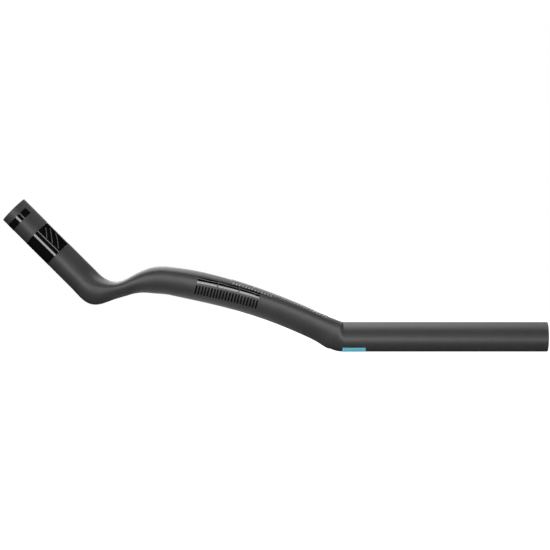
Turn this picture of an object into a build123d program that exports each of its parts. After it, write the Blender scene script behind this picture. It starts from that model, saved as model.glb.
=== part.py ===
"""Aero handlebar extension: one hollow carbon moulding with an S-bend.

The straight round tube at the rear goes into the clamp of the handlebar. From there the body rises with a
flat top and tight shoulders, runs over a crest and down through a thin neck, and ends in a round grip that
points up. Lengths are in millimetres and angles in degrees. The origin is the middle of the rear end, X runs
along the clamp tube towards the rear, and Z points up.
"""

import os
from itertools import pairwise

from build123d import *

# Round tube at both ends
tube_diameter = 22.2
wall = 1.6
end_chamfer = 0.4

# Path of the middle of the tube in side view, from the rear end forward
clamp_length = 153.0
bend_inner_radius = 2.0
bend_turn = 24.3
rise_length = 24.2
ramp_radius = 407.0
ramp_turn = 14.9
crest_radius = 54.5
crest_turn = 29.0
neck_length = 8.8
valley_inner_radius = 17.9
grip_angle = 45.0
grip_length = 73.8

# Height of the body's section
rise_height = 19.9
ramp_height = 21.8
crest_height = 20.6
neck_height = 11.7

# Depth of the swellings below the bend and below the valley
bend_swell = 0.5
heel_swell = 3.5

# Width of the body's section
crest_width = 28.5
neck_width = 29.5

# Distances along the pieces of the path to where those sizes are reached
rise_settle = 20.0
ramp_low = 15.0
ramp_high = 15.0
crest_fall = 7.6
swell_full = 5.5
swell_end = 13.0
heel_start = 6.6
heel_full = 20.2

# Share of the section's height that lies above its widest line
round_share = 0.5
rise_share = 0.22
crest_share = 0.29
neck_share = 0.26

# Fullness of the section's shoulders, from a quarter of a circle to a square corner at 1
round_fullness = 4 / 3 * (2**0.5 - 1)
rise_fullness = 0.88
crest_fullness = 0.82
neck_fullness = 0.84

# Fullness of the flanks below the widest line, where the section narrows quickly
rise_flank = 0.36
crest_flank = 0.52

# Spacing of the sections that the bend and the body are lofted through
bend_spacing = 2.8
body_spacing = 6.3

bend_radius = tube_diameter / 2 + bend_inner_radius
valley_radius = tube_diameter / 2 + valley_inner_radius
valley_turn = grip_angle - bend_turn + ramp_turn + crest_turn

with BuildLine(Plane.XZ) as path:
    clamp_line = Line((0, 0), (-clamp_length, 0))
    bend = JernArc(clamp_line @ 1, clamp_line % 1, bend_radius, -bend_turn)
    rise = PolarLine(bend @ 1, rise_length, direction=bend % 1)
    ramp = JernArc(rise @ 1, rise % 1, ramp_radius, ramp_turn)
    crest = JernArc(ramp @ 1, ramp % 1, crest_radius, crest_turn)
    neck = PolarLine(crest @ 1, neck_length, direction=crest % 1)
    valley = JernArc(neck @ 1, neck % 1, valley_radius, -valley_turn)
    grip = PolarLine(valley @ 1, grip_length, direction=valley % 1)

# Distances along the path from the rear end: where its pieces start, and where the section is given
bend_start = clamp_length
rise_start = bend_start + bend.length
ramp_start = rise_start + rise.length
crest_start = ramp_start + ramp.length
neck_start = crest_start + crest.length
valley_start = neck_start + neck.length
grip_start = valley_start + valley.length

crest_place = crest_start + crest_fall

height_stations = [
    (bend_start, tube_diameter),
    (rise_start + rise_settle, rise_height),
    (ramp_start + ramp_low, rise_height),
    (crest_start - ramp_high, ramp_height),
    (crest_place, crest_height),
    (valley_start, neck_height),
    (grip_start, tube_diameter),
]
swell_stations = [
    (rise_start, 0),
    (rise_start + swell_full, bend_swell),
    (rise_start + swell_end, 0),
    (valley_start + heel_start, 0),
    (valley_start + heel_full, heel_swell),
    (grip_start, 0),
]
width_stations = [
    (bend_start, tube_diameter),
    (crest_place, crest_width),
    (valley_start, neck_width),
    (grip_start, tube_diameter),
]
share_stations = [
    (bend_start, round_share),
    (rise_start, rise_share),
    (ramp_start, rise_share),
    (crest_place, crest_share),
    (valley_start, neck_share),
    (grip_start, round_share),
]
fullness_stations = [
    (bend_start, round_fullness),
    (rise_start, rise_fullness),
    (ramp_start, rise_fullness),
    (crest_place, crest_fullness),
    (valley_start, neck_fullness),
    (grip_start, round_fullness),
]
flank_stations = [
    (bend_start, round_fullness),
    (rise_start, rise_flank),
    (ramp_start, rise_flank),
    (crest_place, crest_flank),
    (valley_start, round_fullness),
]


def eased(stations, place):
    """The size at a place along the path, passing smoothly from each station to the next."""
    size = stations[0][1]
    for (start, first), (end, last) in pairwise(stations):
        if place > start:
            share = min((place - start) / (end - start), 1)
            size = first + (last - first) * share**2 * (3 - 2 * share)
    return size


def across(place):
    """The plane across the path at a place, facing the rear, with its own Y upwards."""
    spine = path.wire()
    tangent = spine.tangent_at(place, PositionMode.LENGTH)
    return Plane(spine.position_at(place, PositionMode.LENGTH), x_dir=(0, 1, 0), z_dir=-tangent)


def round_section(place, inset):
    """The tube's circle at a place, drawn in by the inset, as four quarters."""
    radius = tube_diameter / 2 - inset
    quarters = [CenterArc((0, 0), radius, 90 * quarter, 90) for quarter in range(4)]
    return across(place) * Face(Wire(quarters))


def moulded_section(place, inset):
    """The body's section at a place, drawn in by the inset: full shoulders outside, round ones in the bore."""
    height = eased(height_stations, place)
    fullness = round_fullness if inset else eased(fullness_stations, place)
    side = eased(width_stations, place) / 2 - inset
    top = height / 2 - inset
    bottom = top + eased(swell_stations, place)
    widest = height * (round_share - eased(share_stations, place))
    shoulder = widest + fullness * (top - widest)
    flank = widest - eased(flank_stations, place) * (bottom + widest)
    quarters = [
        Bezier((side, widest), (side, shoulder), (side * fullness, top), (0, top)),
        Bezier((0, top), (-side * fullness, top), (-side, shoulder), (-side, widest)),
        Bezier((-side, widest), (-side, flank), (-side * round_fullness, -bottom), (0, -bottom)),
        Bezier((0, -bottom), (side * round_fullness, -bottom), (side, flank), (side, widest)),
    ]
    return across(place) * Face(Wire(quarters))


def between(start, end, spacing):
    """Even places along the path between start and end, about this far apart."""
    count = max(round((end - start) / spacing), 2)
    return [start + (end - start) * step / count for step in range(1, count)]


def whole_form(inset):
    """The form from end to end, drawn in by the inset: the smooth outside, or the bore in straight steps."""
    in_bend = [moulded_section(place, inset) for place in between(bend_start, rise_start, bend_spacing)]
    in_body = [moulded_section(place, inset) for place in between(rise_start, grip_start, body_spacing)]
    joint = moulded_section(rise_start, inset)
    with BuildPart() as form:
        loft(sections=[round_section(bend_start, inset), *in_bend, joint])
        loft(sections=[joint, *in_body, round_section(grip_start, inset)], ruled=inset > 0)
        for start, length in ((0, clamp_length), (grip_start, grip_length)):
            with BuildSketch(across(start)):
                Circle(tube_diameter / 2 - inset)
            extrude(amount=-length)
    return form.part


outside = whole_form(0)
bore = whole_form(wall)

with BuildPart() as extension_tube:
    add(outside)
    add(bore, mode=Mode.SUBTRACT)
    chamfer(extension_tube.faces().filter_by(GeomType.PLANE).edges(), end_chamfer)

extension_tube.part.label = "extension_tube"

os.makedirs("parts", exist_ok=True)
export_step(extension_tube.part, "parts/extension_tube.step")
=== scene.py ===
"""Looks of the aero handlebar extension: its finish, its films and texture, and the studio around it.

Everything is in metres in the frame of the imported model: X along the clamp tube towards the rear, Z up. The
camera sees the side that faces -Y, called near here.
"""

import math

import bpy
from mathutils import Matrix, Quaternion, Vector
from mathutils.interpolate import poly_3d_calc


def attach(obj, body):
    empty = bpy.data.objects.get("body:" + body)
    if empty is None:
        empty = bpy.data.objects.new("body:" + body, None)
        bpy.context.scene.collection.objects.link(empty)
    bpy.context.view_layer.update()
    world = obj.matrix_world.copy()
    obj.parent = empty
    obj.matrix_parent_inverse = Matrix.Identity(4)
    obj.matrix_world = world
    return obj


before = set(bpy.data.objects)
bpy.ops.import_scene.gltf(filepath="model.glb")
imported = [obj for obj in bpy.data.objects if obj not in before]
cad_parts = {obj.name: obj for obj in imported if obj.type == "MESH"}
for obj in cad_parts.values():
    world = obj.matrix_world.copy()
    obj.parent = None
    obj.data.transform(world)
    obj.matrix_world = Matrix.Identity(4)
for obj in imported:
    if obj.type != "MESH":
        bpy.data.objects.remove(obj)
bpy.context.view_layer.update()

MM = 0.001
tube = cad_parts["extension_tube"]

DOWN = Vector((0, 0, -1))
SIDES = ((-1, "near"), (1, "far"))

# The two round ends; within these lengths of them and inside the raw radius, on the cut edge and in the bore,
# the carbon has no coat
TUBE_RADIUS = 11.1 * MM
RAW_RADIUS = 10.75 * MM
CLAMP_END = Vector((0, 0, 0))
CLAMP_AXIS = Vector((1, 0, 0))
CLAMP_LENGTH = 150 * MM
GRIP_TIP = Vector((-399.35, 0, 95.33)) * MM
GRIP_AXIS = Vector((-1, 0, 1)).normalized()
GRIP_UP = Vector((1, 0, 1)).normalized()
GRIP_LENGTH = 70 * MM

# Films lie on the skin: this far proud, and rooted this deep so that the skin's facets never show through
FILM_PROUD = 0.08 * MM
FILM_ROOT = 0.2 * MM

# Gloss bands, measured down from the grip's tip; the short one is open at the top and ends this far round the
# grip from its sides
SHORT_BAND = (5.9 * MM, 11.2 * MM)
SHORT_BAND_TURN = math.radians(45)
LONG_BAND = (24.6 * MM, 46.9 * MM)

# Thin slanted lines on the long band: ends of each line in degrees round the grip from its side and in shares
# of the band's length
LINES = (((16, 0.4), (46, 0.1)), ((16, 0.65), (58, 0.23)), ((20, 0.9), (64, 0.46)))
LINE_WIDTH = 0.4 * MM

# Gloss field on the side of the rise: its corners in side view, and how far its middle is bowed up
FIELD_TOP = (Vector((-261.2, 45.3)) * MM, Vector((-214.4, 33.1)) * MM)
FIELD_BOTTOM = (Vector((-264.8, 32.6)) * MM, Vector((-217.6, 21.4)) * MM)
FIELD_BOW = 0.8 * MM

# Combs in the field: the gap is a share of its length, the rail's bottom and the teeth's top are shares of
# its height, and a tooth's width is a share of the pitch
COMBS = 3
COMB_GAP = 0.02
COMB_RAIL = 0.335
COMB_TEETH = 7
TOOTH_TOP = 0.46
TOOTH_SHARE = 0.52

# Blue label under the front of the clamp tube
LABEL_ENDS = (-153.6 * MM, -136.4 * MM)
LABEL_HALF_ANGLE = math.radians(46)

# Raised dots on the flat top of the rise: the levels are shares of a dot's radius and height, and the rows
# are counted to each side of the middle one
DOT_ENDS = (-236 * MM, -162 * MM)
DOT_PITCH = 2.33 * MM
DOT_ROW_PITCH = 0.93 * DOT_PITCH
DOT_ROWS = 4
DOT_RADIUS = 0.8 * MM
DOT_HEIGHT = 0.4 * MM
DOT_LEVELS = ((1.0, -0.3), (0.95, 0.45), (0.75, 0.88))

# One more row on each shoulder, where the skin's normal stands this far above level; the place is looked for
# in a number of tries, this far up and down the shoulder
SHOULDER_ROW_END = -206 * MM
SHOULDER_SLOPE = math.radians(50)
SHOULDER_REACH = 3 * MM
SHOULDER_TRIES = 25

# Rays that look for the skin start this far away, outside the part
RAY_START = 0.1

# Edges of a piece that are sharper than this aren't smoothed
SHARP_ANGLE = math.radians(40)

# Range that holds nearly all of a noise's values
NOISE_RANGE = (0.3, 0.7)

# Height of the studio's floor; the extension is held in the air above it
FLOOR = -0.4


def new_material(name):
    """A node material, and its Principled shader."""
    material = bpy.data.materials.new(name)
    material.use_nodes = True
    return material, material.node_tree.nodes["Principled BSDF"]


def feed(tree, socket, value):
    """Link a socket to another node's output, or set it to a plain value."""
    if isinstance(value, bpy.types.NodeSocket):
        tree.links.new(value, socket)
    else:
        socket.default_value = value


def maths(tree, operation, *values):
    """The result of a Math node."""
    node = tree.nodes.new("ShaderNodeMath")
    node.operation = operation
    for socket, value in zip(node.inputs, values):
        feed(tree, socket, value)
    return node.outputs[0]


def vectors(tree, operation, *values):
    """The result of a Vector Math node: a number for a length or a dot product, a vector otherwise."""
    node = tree.nodes.new("ShaderNodeVectorMath")
    node.operation = operation
    for socket, value in zip(node.inputs, values):
        feed(tree, socket, value)
    return node.outputs["Value" if operation in ("LENGTH", "DOT_PRODUCT") else "Vector"]


def mapped(tree, value, source, target, smooth=False):
    """A value carried from one range to another."""
    node = tree.nodes.new("ShaderNodeMapRange")
    node.interpolation_type = "SMOOTHSTEP" if smooth else "LINEAR"
    feed(tree, node.inputs["Value"], value)
    for name, number in zip(("From Min", "From Max", "To Min", "To Max"), (*source, *target)):
        node.inputs[name].default_value = number
    return node.outputs["Result"]


def position(tree):
    """The place in space of the point that is shaded."""
    return tree.nodes.new("ShaderNodeNewGeometry").outputs["Position"]


def noise(tree, scale, detail=2):
    """Noise through space, with a size of about 1 / scale metres."""
    node = tree.nodes.new("ShaderNodeTexNoise")
    node.inputs["Scale"].default_value = scale
    node.inputs["Detail"].default_value = detail
    feed(tree, node.inputs["Vector"], position(tree))
    return node.outputs["Fac"]


def varied(tree, scale, ends, detail=2):
    """A value that wanders between two ends with a noise."""
    return mapped(tree, noise(tree, scale, detail), NOISE_RANGE, ends)


def bump(tree, shader, height, distance):
    """Fine relief on a shader from a height between 0 and 1."""
    node = tree.nodes.new("ShaderNodeBump")
    node.inputs["Distance"].default_value = distance
    feed(tree, node.inputs["Height"], height)
    feed(tree, shader.inputs["Normal"], node.outputs["Normal"])


def raw_mask(tree, end, axis, length):
    """1 in the bore and on the cut edge of a round end, 0 on its outside."""
    from_end = vectors(tree, "SUBTRACT", position(tree), end)
    radius = vectors(tree, "LENGTH", vectors(tree, "CROSS_PRODUCT", from_end, axis))
    depth = vectors(tree, "DOT_PRODUCT", from_end, axis)
    within = maths(tree, "GREATER_THAN", depth, -length)
    return maths(tree, "MULTIPLY", within, maths(tree, "LESS_THAN", radius, RAW_RADIUS))


def satin_coat():
    """Satin black coat with a fine grain; the bore and the cut ends are lighter and rougher, bare carbon."""
    raw_lighter, raw_rougher = 0.02, 0.25
    material, shader = new_material("satin_coat")
    tree = material.node_tree
    raw = maths(tree, "MAXIMUM", raw_mask(tree, CLAMP_END, CLAMP_AXIS, CLAMP_LENGTH),
                raw_mask(tree, GRIP_TIP, GRIP_AXIS, GRIP_LENGTH))
    grain = noise(tree, 2600)
    grey = maths(tree, "MULTIPLY_ADD", raw, raw_lighter, varied(tree, 90, (0.025, 0.031), detail=4))
    colour = tree.nodes.new("ShaderNodeCombineColor")
    for socket in colour.inputs[:3]:
        feed(tree, socket, grey)
    feed(tree, shader.inputs["Base Color"], colour.outputs["Color"])
    sheen = mapped(tree, grain, NOISE_RANGE, (0.46, 0.52))
    feed(tree, shader.inputs["Roughness"], maths(tree, "MULTIPLY_ADD", raw, raw_rougher, sheen))
    shader.inputs["IOR"].default_value = 1.6
    bump(tree, shader, grain, 0.006 * MM)
    return material


def gloss_black():
    """Gloss black film, with a faint waviness and small changes in its polish."""
    material, shader = new_material("gloss_black")
    tree = material.node_tree
    shader.inputs["Base Color"].default_value = (0.004, 0.004, 0.0045, 1)
    shader.inputs["IOR"].default_value = 1.6
    feed(tree, shader.inputs["Roughness"], varied(tree, 300, (0.05, 0.1)))
    bump(tree, shader, noise(tree, 500), 0.003 * MM)
    return material


def label_blue():
    """Light blue printed film, a little uneven in tone."""
    material, shader = new_material("label_blue")
    tree = material.node_tree
    tone = tree.nodes.new("ShaderNodeValToRGB")
    tone.color_ramp.elements[0].color = (0.092, 0.41, 0.53, 1)
    tone.color_ramp.elements[1].color = (0.12, 0.47, 0.6, 1)
    feed(tree, tone.inputs["Fac"], noise(tree, 900))
    feed(tree, shader.inputs["Base Color"], tone.outputs["Color"])
    feed(tree, shader.inputs["Roughness"], varied(tree, 1200, (0.4, 0.5)))
    bump(tree, shader, noise(tree, 2000), 0.004 * MM)
    return material


def dot_painted_glint():
    """Moulded dots, shinier than the coat around them, in a light grey that paints the glints of the light on
    them.
    """
    material, shader = new_material("dot_painted_glint")
    tree = material.node_tree
    # The light grey base colour is painted glint: it makes the dots stand out bright as the light's
    # reflections on them would
    shader.inputs["Base Color"].default_value = (0.24, 0.24, 0.242, 1)
    shader.inputs["IOR"].default_value = 1.8
    feed(tree, shader.inputs["Roughness"], varied(tree, 2600, (0.16, 0.24)))
    bump(tree, shader, noise(tree, 3200), 0.003 * MM)
    return material


def line_grey():
    """Thin grey print on the long gloss band."""
    material, shader = new_material("line_grey")
    tree = material.node_tree
    shader.inputs["Base Color"].default_value = (0.12, 0.12, 0.122, 1)
    feed(tree, shader.inputs["Roughness"], varied(tree, 1500, (0.35, 0.45)))
    bump(tree, shader, noise(tree, 2500), 0.003 * MM)
    return material


def new_piece(name, vertices, faces, material, normals=None):
    """A smooth piece of the object from its vertices and faces, with normals of its own where given."""
    mesh = bpy.data.meshes.new(name)
    mesh.from_pydata([tuple(v) for v in vertices], [], faces)
    mesh.materials.append(material)
    mesh.shade_smooth()
    if normals:
        mesh.normals_split_custom_set_from_vertices([tuple(n) for n in normals])
    else:
        mesh.set_sharp_from_angle(angle=SHARP_ANGLE)
    piece = bpy.data.objects.new(name, mesh)
    bpy.context.scene.collection.objects.link(piece)
    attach(piece, "root")


def on_skin(aim, inward):
    """Where a ray from outside towards a point meets the tube's skin, and the skin's smooth normal there."""
    to_tube = tube.matrix_world.inverted()
    start = aim - RAY_START * inward
    place, index = tube.ray_cast(to_tube @ start, to_tube.to_3x3() @ inward)[1::2]
    face = tube.data.polygons[index]
    weights = poly_3d_calc([tube.data.vertices[v].co for v in face.vertices], place)
    normal = Vector()
    for weight, loop in zip(weights, face.loop_indices):
        normal += weight * tube.data.corner_normals[loop].vector
    return tube.matrix_world @ place, (tube.matrix_world.to_3x3() @ normal).normalized()


def on_grip(depth, turn, lift=0):
    """A place on the grip, this far from its tip and turned up from its near side, and the normal there."""
    out = Vector((0, -math.cos(turn), 0)) + GRIP_UP * math.sin(turn)
    return GRIP_TIP - GRIP_AXIS * depth + out * (TUBE_RADIUS + lift), out


def between(ends, share):
    """The value at a share of the way between two ends."""
    return ends[0] + (ends[1] - ends[0]) * share


def grid_faces(rows, columns, first, flip=False):
    """Quads between neighbouring points of a grid of vertices."""
    faces = []
    for row in range(rows - 1):
        for column in range(columns - 1):
            corner = first + row * columns + column
            quad = (corner, corner + 1, corner + columns + 1, corner + columns)
            faces.append(quad[::-1] if flip else quad)
    return faces


def patch_faces(rows, columns, first):
    """Faces of one closed patch: its face, its root in the skin, and the edges between them."""
    count = rows * columns
    rim = [*range(columns), *range(2 * columns - 1, count, columns),
           *range(count - 2, count - columns - 1, -1), *range(count - 2 * columns, 0, -columns)]
    quads = grid_faces(rows, columns, first) + grid_faces(rows, columns, first + count, flip=True)
    for here, after in zip(rim, rim[1:] + rim[:1]):
        quads.append((first + after, first + here, first + here + count, first + after + count))
    return quads


def film(name, patches, columns, material):
    """Thin film on the skin: each patch is a grid of places and normals, in rows of so many columns."""
    vertices, normals, faces = [], [], []
    for skin in patches:
        faces += patch_faces(len(skin) // columns, columns, len(vertices))
        vertices += [place + FILM_PROUD * normal for place, normal in skin]
        vertices += [place - FILM_ROOT * normal for place, normal in skin]
        normals += [normal for _, normal in skin] * 2
    new_piece(name, vertices, faces, material, normals)


def ring(name, ends, material, steps=160):
    """A band all round the grip between two distances from its tip."""
    profile = [(ends[0], -FILM_ROOT), (ends[0], 0), (ends[0] + FILM_PROUD, FILM_PROUD),
               (ends[1] - FILM_PROUD, FILM_PROUD), (ends[1], 0), (ends[1], -FILM_ROOT)]
    corners = len(profile)
    vertices, faces = [], []
    for step in range(steps):
        turn = 2 * math.pi * step / steps
        vertices += [on_grip(depth, turn, lift)[0] for depth, lift in profile]
        here, after = step * corners, (step + 1) % steps * corners
        for corner in range(corners):
            following = (corner + 1) % corners
            faces.append((here + corner, here + following, after + following, after + corner))
    new_piece(name, vertices, faces, material)


def open_band(name, ends, turn, material, rows=4, columns=140):
    """A band round the grip between two distances from its tip, open at the top between two equal turns."""
    turns = (turn, -math.pi - turn)
    skin = []
    for row in range(rows):
        depth = between(ends, row / (rows - 1))
        skin += [on_grip(depth, between(turns, column / (columns - 1))) for column in range(columns)]
    film(name, [skin], columns, material)


def line_patch(ends, side, columns):
    """A thin line on the long band, from one place to another round and along the grip."""
    turns = [math.radians(angle) for angle, _ in ends]
    depths = [between(LONG_BAND, share) for _, share in ends]
    run = Vector(((turns[1] - turns[0]) * TUBE_RADIUS, depths[1] - depths[0])).normalized()
    skin = []
    for edge in (-side * LINE_WIDTH / 2, side * LINE_WIDTH / 2):
        for column in range(columns):
            along = column / (columns - 1)
            turn = between(turns, along) - edge * run.y / TUBE_RADIUS
            depth = between(depths, along) + edge * run.x
            skin.append(on_grip(depth, turn if side < 0 else math.pi - turn, FILM_PROUD))
    return skin


def band_lines(material, columns=25):
    """The slanted lines on both sides of the long band."""
    for side, word in SIDES:
        film(f"band_lines_{word}", [line_patch(ends, side, columns) for ends in LINES], columns, material)


def bar_patch(along_ends, down_ends, side, rows, columns):
    """One slanted bar on one side of the rise, between shares of the field's length and of its height."""
    if side < 0:
        along_ends = along_ends[::-1]
    skin = []
    for row in range(rows):
        down = between(down_ends, row / (rows - 1))
        for column in range(columns):
            along = between(along_ends, column / (columns - 1))
            top = FIELD_TOP[0].lerp(FIELD_TOP[1], along)
            bottom = FIELD_BOTTOM[0].lerp(FIELD_BOTTOM[1], along)
            x, z = top.lerp(bottom, down)
            z += FIELD_BOW * 4 * along * (1 - along)
            skin.append(on_skin(Vector((x, 0, z)), Vector((0, -side, 0))))
    return skin


def rise_field(material, rows=13, columns=5):
    """The gloss field as a row of combs on both sides of the rise: a rail on top and slanted teeth below."""
    length = 1 / COMBS - COMB_GAP
    pitch = length / (COMB_TEETH - 1 + TOOTH_SHARE)
    starts = [comb / COMBS + COMB_GAP / 2 for comb in range(COMBS)]
    teeth = [start + tooth * pitch for start in starts for tooth in range(COMB_TEETH)]
    for side, word in SIDES:
        combs = [bar_patch((start, start + length), (0, COMB_RAIL), side, rows, columns) for start in starts]
        combs += [bar_patch((start, start + TOOTH_SHARE * pitch), (TOOTH_TOP, 1), side, rows, columns)
                  for start in teeth]
        film(f"rise_combs_{word}", combs, columns, material)


def clamp_label(material, rows=19, columns=25):
    """The label round the bottom of the clamp tube, at its front."""
    skin = []
    for row in range(rows):
        angle = between((-LABEL_HALF_ANGLE, LABEL_HALF_ANGLE), row / (rows - 1))
        inward = Vector((0, math.sin(angle), math.cos(angle)))
        for column in range(columns):
            x = between(LABEL_ENDS, column / (columns - 1))
            skin.append(on_skin(Vector((x, 0, 0)), inward))
    film("clamp_label", [skin], columns, material)


def dot_shape(place, normal, first, steps=10):
    """Vertices and faces of one low closed dome, rooted in the skin."""
    to_skin = normal.to_track_quat("Z", "Y").to_matrix()
    vertices = []
    for share, height in DOT_LEVELS:
        for step in range(steps):
            angle = 2 * math.pi * step / steps
            spoke = Vector((math.cos(angle), math.sin(angle), 0)) * share * DOT_RADIUS
            vertices.append(place + to_skin @ spoke + normal * height * DOT_HEIGHT)
    vertices.append(place + normal * DOT_HEIGHT)
    faces = [tuple(reversed(range(first, first + steps)))]
    for level in range(len(DOT_LEVELS) - 1):
        for step in range(steps):
            here, after = first + level * steps + step, first + level * steps + (step + 1) % steps
            faces.append((here, after, after + steps, here + steps))
    top = first + len(DOT_LEVELS) * steps
    for step in range(steps):
        faces.append((top - steps + step, top - steps + (step + 1) % steps, top))
    return vertices, faces


def on_shoulder(x, side):
    """The place on one shoulder where the skin's slope is nearest to the row's, and the normal there."""
    inward = Vector((0, -side, -1)).normalized()
    along_shoulder = Vector((0, side, -1)).normalized() * SHOULDER_REACH
    corner = on_skin(Vector((x, 0, 0)), DOWN)[0] + Vector((0, side * TUBE_RADIUS, 0))
    hits = []
    for step in range(SHOULDER_TRIES):
        hits.append(on_skin(corner + between((-1, 1), step / SHOULDER_TRIES) * along_shoulder, inward))
    return min(hits, key=lambda hit: abs(math.atan2(hit[1].z, abs(hit[1].y)) - SHOULDER_SLOPE))


def dot_places():
    """Places of the dots: staggered rows along the flat top, and one row on each shoulder."""
    for step in range(int((DOT_ENDS[1] - DOT_ENDS[0]) / DOT_PITCH)):
        x = DOT_ENDS[0] + step * DOT_PITCH
        for row in range(-DOT_ROWS, DOT_ROWS + 1):
            stagger = row % 2 * DOT_PITCH / 2
            yield on_skin(Vector((x + stagger, row * DOT_ROW_PITCH, 0)), DOWN)
        if x < SHOULDER_ROW_END:
            for side, _ in SIDES:
                yield on_shoulder(x + DOT_PITCH / 2, side)


def top_dots(material):
    """The low dots on the flat top and the shoulders of the rise."""
    vertices, faces = [], []
    for place, normal in dot_places():
        more_vertices, more_faces = dot_shape(place, normal, len(vertices))
        vertices += more_vertices
        faces += more_faces
    new_piece("top_dots", vertices, faces, material)


def seen_directly(tree):
    """1 for rays that see the backdrop itself or its reflection, 0 for the light it gives."""
    path = tree.nodes.new("ShaderNodeLightPath")
    mirrored = maths(tree, "MAXIMUM", path.outputs["Is Glossy Ray"], path.outputs["Is Transmission Ray"])
    return maths(tree, "MAXIMUM", path.outputs["Is Camera Ray"], mirrored)


def studio_floor():
    """A pale floor below the extension that runs out to white; its own glow is lower around the middle, a
    painted shade there in which the real shadow stays visible.
    """
    # Middle and edges of a painted shade: the floor's own glow is lower around the spot under the part
    painted_shade_middle = (-0.2, -0.12, FLOOR)
    painted_shade_edge = (0.25, 0.52)
    own_white = (0.25, 1)
    bpy.ops.mesh.primitive_plane_add(size=16, location=(-0.2, 0, FLOOR))
    floor = bpy.context.object
    floor.name = "floor"
    material, shader = new_material("floor_white")
    tree = material.node_tree
    shader.inputs["Base Color"].default_value = (0.8, 0.8, 0.8, 1)
    shader.inputs["Roughness"].default_value = 0.9
    shader.inputs["Specular IOR Level"].default_value = 0
    shader.inputs["Emission Color"].default_value = (1, 1, 1, 1)
    away = vectors(tree, "LENGTH", vectors(tree, "SUBTRACT", position(tree), painted_shade_middle))
    white = mapped(tree, away, painted_shade_edge, own_white, smooth=True)
    feed(tree, shader.inputs["Emission Strength"], maths(tree, "MULTIPLY", white, seen_directly(tree)))
    floor.data.materials.append(material)


def white_world():
    """A white surround that is seen at full strength and gives a low, even light."""
    world = bpy.data.worlds.new("studio")
    bpy.context.scene.world = world
    world.use_nodes = True
    tree = world.node_tree
    background = tree.nodes["Background"]
    background.inputs["Color"].default_value = (1, 1, 1, 1)
    feed(tree, background.inputs["Strength"], mapped(tree, seen_directly(tree), (0, 1), (0.3, 1)))


def softbox(name, place, aim, size, radiance, roll=0):
    """A rectangular soft light that faces a point, rolled by some degrees, as bright as this radiance."""
    light = bpy.data.lights.new(name, "AREA")
    light.shape = "RECTANGLE"
    light.size, light.size_y = size
    light.energy = radiance * math.pi * size[0] * size[1]
    lamp = bpy.data.objects.new(name, light)
    lamp.location = place
    facing = (Vector(aim) - Vector(place)).to_track_quat("-Z", "Y")
    lamp.rotation_euler = (facing @ Quaternion((0, 0, 1), math.radians(roll))).to_euler()
    lamp.visible_camera = False
    bpy.context.scene.collection.objects.link(lamp)


def softboxes():
    """A broad box above, a low and a thin one in front for the two highlights, and one at the back left."""
    softbox("overhead", (-0.38, 0.16, 0.95), (-0.38, 0, 0.03), (0.85, 1.0), 2.5)
    softbox("low_front", (-0.33, -0.75, -0.165), (-0.33, 0, 0.03), (0.95, 0.19), 7.5, roll=-15)
    softbox("thin_front", (-0.25, -0.72, 0.27), (-0.25, 0, 0.03), (0.9, 0.04), 5.3)
    softbox("back_left", (-0.5, 0.95, 0.5), (-0.3, 0, 0.05), (0.55, 0.7), 2.3)


def card_black():
    """Dull black for the cards."""
    material, shader = new_material("card_black")
    shader.inputs["Base Color"].default_value = (0, 0, 0, 1)
    shader.inputs["Specular IOR Level"].default_value = 0
    return material


def black_card(name, first, last, material):
    """A black card between two corners, out of the camera's sight, which only the coat's reflections see."""
    if first[0] == last[0]:
        second, fourth = (first[0], last[1], first[2]), (first[0], first[1], last[2])
    else:
        second, fourth = (last[0], first[1], first[2]), (first[0], last[1], last[2])
    mesh = bpy.data.meshes.new(name)
    mesh.from_pydata([first, second, last, fourth], [], [(0, 1, 2, 3)])
    mesh.materials.append(material)
    card = bpy.data.objects.new(name, mesh)
    bpy.context.scene.collection.objects.link(card)
    card.visible_camera = False
    card.visible_diffuse = False
    card.visible_shadow = False
    card.visible_transmission = False


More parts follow.
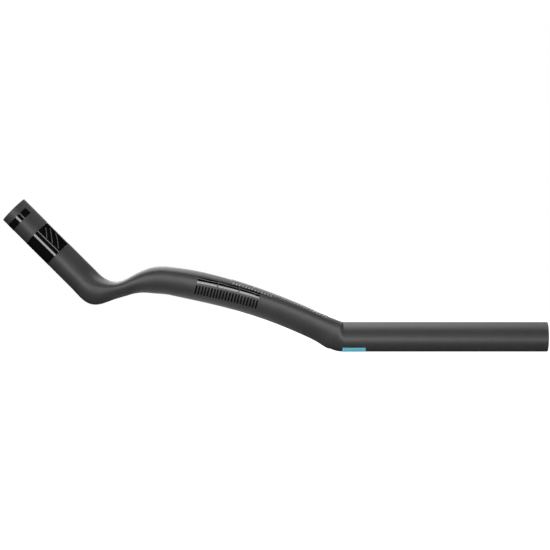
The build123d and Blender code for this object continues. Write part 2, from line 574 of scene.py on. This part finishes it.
def black_cards():
    """Cards that keep the white surround out of the coat's dark edges.

    One set lies on the floor and stands at its back, another is close below and behind the part. Both leave a
    window, through which the floor lights the underside of the rise. The others stand in front and at the
    right, where a window is left at the height of the part.
    """
    left, right, front, top = -1.6, 0.6, -0.95, 1.8
    right_back, right_window = 2, (-0.15, 0.3)
    low, far_front, far_back = FLOOR + 0.005, -0.06, 0.75
    under, near_front, near_back = -0.1, -0.25, 0.12
    black = card_black()
    black_card("card_front", (left, front, low), (right, front, top), black)
    black_card("card_right_low", (right, front, low), (right, right_back, right_window[0]), black)
    black_card("card_right_high", (right, front, right_window[1]), (right, right_back, top), black)
    black_card("card_below", (left, front, low), (right, far_front, low), black)
    for side, end, far_window, far_top, near_window, near_top in (
        ("left", left, -0.52, 0.08, -0.32, 0.035),
        ("right", right, -0.285, 0.06, -0.24, 0),
    ):
        black_card(f"card_below_{side}", (end, far_front, low), (far_window, far_back, low), black)
        black_card(f"card_behind_{side}", (end, far_back, low), (far_window, far_back, far_top), black)
        black_card(f"card_under_{side}", (end, near_front, under), (near_window, near_back, under), black)
        black_card(f"card_back_{side}", (end, near_back, under), (near_window, near_back, near_top), black)


def camera():
    """The camera at the photograph's angle: level with the extension, square to its side."""
    target = Vector((-0.204, 0, 0.0463))
    distance = 1.85
    elevation = math.radians(2.2)
    data = bpy.data.cameras.new("camera")
    data.lens = 161.9
    data.sensor_width = 36
    data.clip_end = 50
    eye = bpy.data.objects.new("camera", data)
    eye.location = target + distance * Vector((0, -math.cos(elevation), math.sin(elevation)))
    eye.rotation_euler = (target - eye.location).to_track_quat("-Z", "Y").to_euler()
    bpy.context.scene.collection.objects.link(eye)
    bpy.context.scene.camera = eye


tube.data.materials.clear()
tube.data.materials.append(satin_coat())
gloss = gloss_black()
open_band("grip_band_short", SHORT_BAND, SHORT_BAND_TURN, gloss)
ring("grip_band_long", LONG_BAND, gloss)
band_lines(line_grey())
rise_field(gloss)
clamp_label(label_blue())
top_dots(dot_painted_glint())
studio_floor()
white_world()
softboxes()
black_cards()
camera()
bpy.context.scene.view_settings.view_transform = "Standard"
